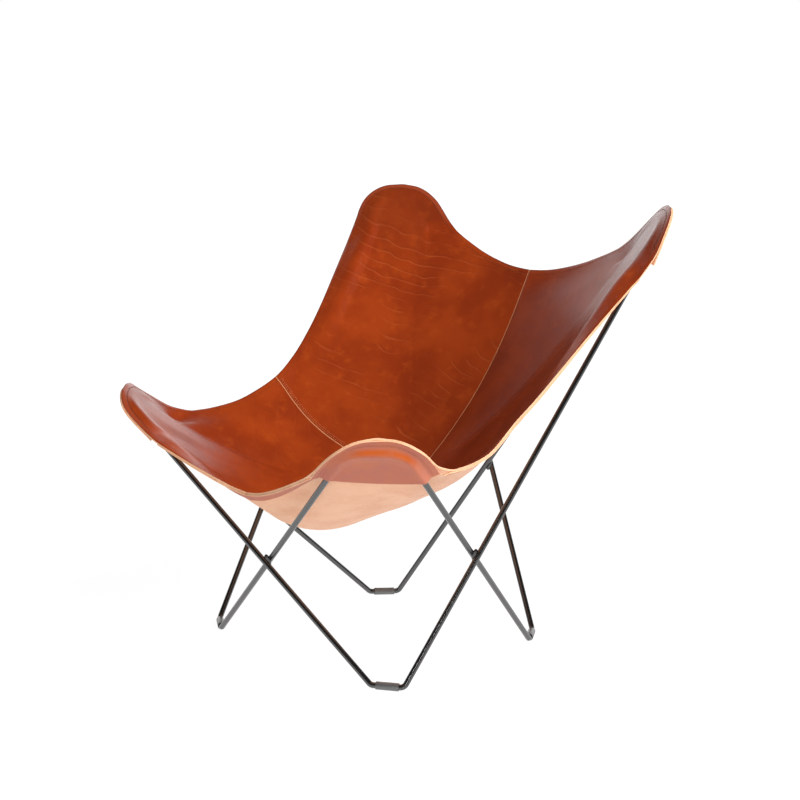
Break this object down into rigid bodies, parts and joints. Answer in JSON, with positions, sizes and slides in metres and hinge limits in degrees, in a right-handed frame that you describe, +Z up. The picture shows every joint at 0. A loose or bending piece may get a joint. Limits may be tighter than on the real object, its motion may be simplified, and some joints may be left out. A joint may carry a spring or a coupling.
{
  "type": "butterfly sling chair",
  "caption": "Low lounge chair with a four-lobed leather sling cover hung over a frame of crossed, bent steel rods.",
  "frame": {"origin": "on the floor, under the middle of the chair", "axes": "+Z up, the front of the seat faces -Y, +X is on the right of someone who looks at the front"},
  "size_m": [0.8742, 0.8909, 0.9092],
  "materials": {
    "rod": "satin black",
    "sleeve": "satin black",
    "weld": "satin black",
    "leather_face": "semi-gloss cognac leather",
    "leather_pocket": "semi-gloss cognac leather",
    "leather_strip": "semi-gloss cognac leather"
  },
  "bodies": {
    "root": {"front_left_rod": "rod", "front_right_rod": "rod", "back_left_rod": "rod", "back_right_rod": "rod", "front_left_foot_sleeve": "sleeve", "front_right_foot_sleeve": "sleeve", "back_left_foot_sleeve": "sleeve", "back_right_foot_sleeve": "sleeve", "front_weld": "weld", "back_weld": "weld", "left_weld": "weld", "right_weld": "weld", "front_left_panel": "leather_face", "front_right_panel": "leather_face", "back_left_panel": "leather_face", "back_right_panel": "leather_face", "front_left_pocket": "leather_pocket", "front_right_pocket": "leather_pocket", "back_left_pocket": "leather_pocket", "back_right_pocket": "leather_pocket", "front_edge_strip": "leather_strip", "back_edge_strip": "leather_strip", "left_edge_strip": "leather_strip", "right_edge_strip": "leather_strip"}
  },
  "joints": []
}
